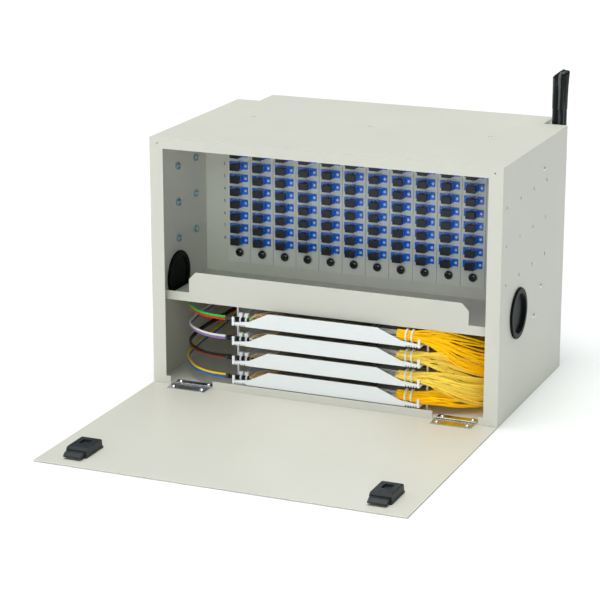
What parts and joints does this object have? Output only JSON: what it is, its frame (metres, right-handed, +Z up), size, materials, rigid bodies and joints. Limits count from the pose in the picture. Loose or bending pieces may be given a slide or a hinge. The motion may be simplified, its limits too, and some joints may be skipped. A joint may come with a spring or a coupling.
{
  "type": "fiber termination box",
  "caption": "Rack-width steel fiber termination box with a drop-down door, adapter patch panel on a shelf, sliding splice trays, pigtail bundles and a feeder cable.",
  "frame": {"origin": "on the ground, at the middle of the case's front face; also the bottom centre of the box with its door open", "axes": "+X to the right seen from the front, +Y to the rear, +Z up"},
  "size_m": [0.446, 0.6, 0.371],
  "materials": {
    "painted_case": "satin powder coat",
    "zinc": "zinc plated",
    "blue_plastic": "moulded",
    "black_gloss": "moulded",
    "black_plastic": "moulded, fine texture",
    "black_rubber": "matt",
    "white_plastic": "moulded",
    "clear_plastic": "clear sheet",
    "natural_plastic": "natural nylon",
    "orange_fibre": "extruded jacket",
    "yellow_fibre": "extruded jacket",
    "loose_tube": "extruded tube"
  },
  "bodies": {
    "chassis": {"chassis_shell": "painted_case", "top_cover": "painted_case", "rear_panel": "painted_case", "patch_shelf": "painted_case", "adapter_panel": "painted_case", "module_plates": "painted_case", "sc_adapters": "blue_plastic", "adapter_screws": "zinc", "dust_caps": "black_gloss", "plunger_grommets": "black_gloss", "module_plungers": "black_gloss", "pigtail_connectors": "blue_plastic", "cable_grommets": "black_rubber", "clinch_nuts": "zinc", "case_screws": "zinc", "tray_rack": "zinc", "hinge_leaves_case": "zinc", "hinge_pins": "zinc", "hinge_screws_case": "zinc", "feeder_cable": "black_rubber", "cable_end_cap": "black_rubber", "cable_clamps": "black_plastic", "cable_elbow": "black_plastic", "pigtail_bundle_1": "orange_fibre", "pigtail_bundle_2": "yellow_fibre", "pigtail_bundle_3": "yellow_fibre", "pigtail_bundle_4": "orange_fibre", "loose_tubes_1": "loose_tube", "loose_tubes_2": "loose_tube", "loose_tubes_3": "loose_tube", "loose_tubes_4": "loose_tube"},
    "door": {"door_panel": "painted_case", "hinge_leaves_door": "zinc", "hinge_screws_door": "zinc", "latch_housings": "black_plastic"},
    "latch_left": {"latch_bolt_left": "black_plastic"},
    "latch_right": {"latch_bolt_right": "black_plastic"},
    "tray_1": {"splice_tray_1": "white_plastic", "tray_lid_1": "clear_plastic", "splice_holder_1": "natural_plastic", "tray_ties_1": "natural_plastic"},
    "tray_2": {"splice_tray_2": "white_plastic", "tray_lid_2": "clear_plastic", "splice_holder_2": "natural_plastic", "tray_ties_2": "natural_plastic"},
    "tray_3": {"splice_tray_3": "white_plastic", "tray_lid_3": "clear_plastic", "splice_holder_3": "natural_plastic", "tray_ties_3": "natural_plastic"},
    "tray_4": {"splice_tray_4": "white_plastic", "tray_lid_4": "clear_plastic", "splice_holder_4": "natural_plastic", "tray_ties_4": "natural_plastic"}
  },
  "joints": [
    {"name": "door_hinge", "type": "hinge", "parent": "chassis", "child": "door", "pos_m": [0, 0.0013, 0.0031], "axis": [1, 0, 0], "range_deg": [-90, 0]},
    {"name": "latch_left_slide", "type": "slide", "parent": "door", "child": "latch_left", "axis": [0, -1, 0], "range_m": [0, 0.012]},
    {"name": "latch_right_slide", "type": "slide", "parent": "door", "child": "latch_right", "axis": [0, -1, 0], "range_m": [0, 0.012]},
    {"name": "tray_1_slide", "type": "slide", "parent": "chassis", "child": "tray_1", "axis": [0, -1, 0], "range_m": [0, 0.12], "deforming": ["pigtail_bundle_1", "loose_tubes_1"]},
    {"name": "tray_2_slide", "type": "slide", "parent": "chassis", "child": "tray_2", "axis": [0, -1, 0], "range_m": [0, 0.12], "deforming": ["pigtail_bundle_2", "loose_tubes_2"]},
    {"name": "tray_3_slide", "type": "slide", "parent": "chassis", "child": "tray_3", "axis": [0, -1, 0], "range_m": [0, 0.12], "deforming": ["pigtail_bundle_3", "loose_tubes_3"]},
    {"name": "tray_4_slide", "type": "slide", "parent": "chassis", "child": "tray_4", "axis": [0, -1, 0], "range_m": [0, 0.12], "deforming": ["pigtail_bundle_4", "loose_tubes_4"]}
  ]
}
